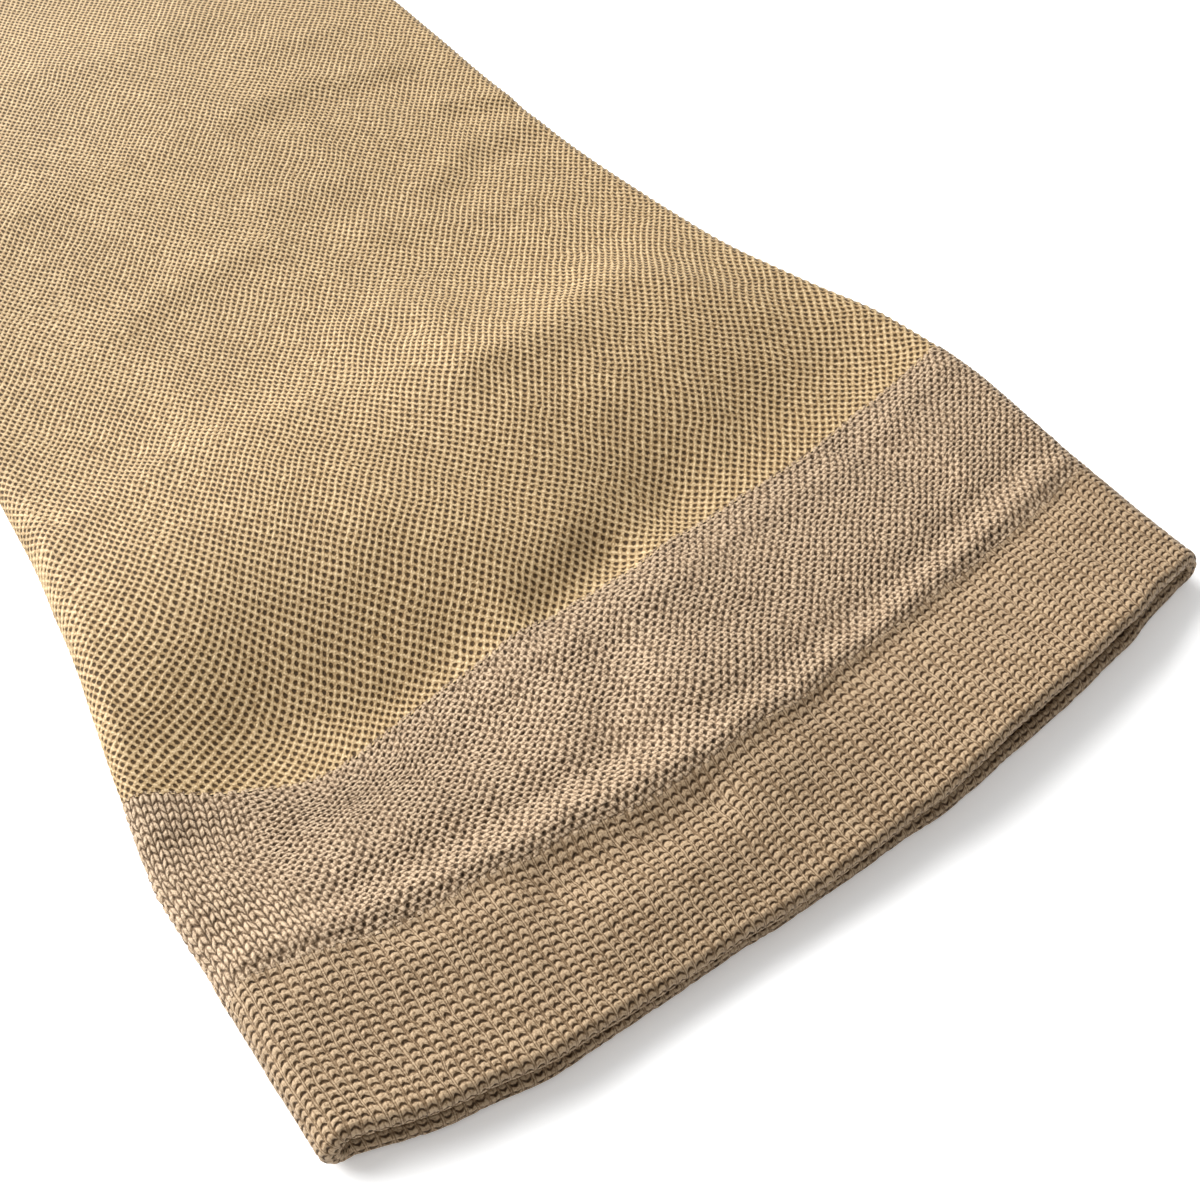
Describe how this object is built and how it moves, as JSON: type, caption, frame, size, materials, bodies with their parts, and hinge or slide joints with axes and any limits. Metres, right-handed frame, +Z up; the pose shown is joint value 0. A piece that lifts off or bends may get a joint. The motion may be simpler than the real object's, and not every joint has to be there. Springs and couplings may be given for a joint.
{
  "type": "compression stocking",
  "caption": "Below-knee knitted compression stocking lying flat: turned welt, plain upper band, tapering net leg, heel turn, foot and closed toe, open at the hem.",
  "frame": {"origin": "middle of the plan box of the whole stocking, on the surface that it lies on", "axes": "+Y down the leg from the hem to the heel, +X to the shin side where the toes point, +Z up"},
  "size_m": [0.236, 0.4454, 0.0064],
  "materials": {
    "welt_knit": "matt ribbed knit, light brown",
    "band_knit": "matt plain knit, pinkish beige",
    "net_knit": "soft-sheen net knit, golden beige",
    "foot_knit": "matt plain knit, golden beige"
  },
  "bodies": {
    "root": {"turned_welt": "welt_knit", "upper_band": "band_knit", "leg": "net_knit", "heel": "foot_knit", "foot": "foot_knit", "toe": "foot_knit"}
  },
  "joints": []
}
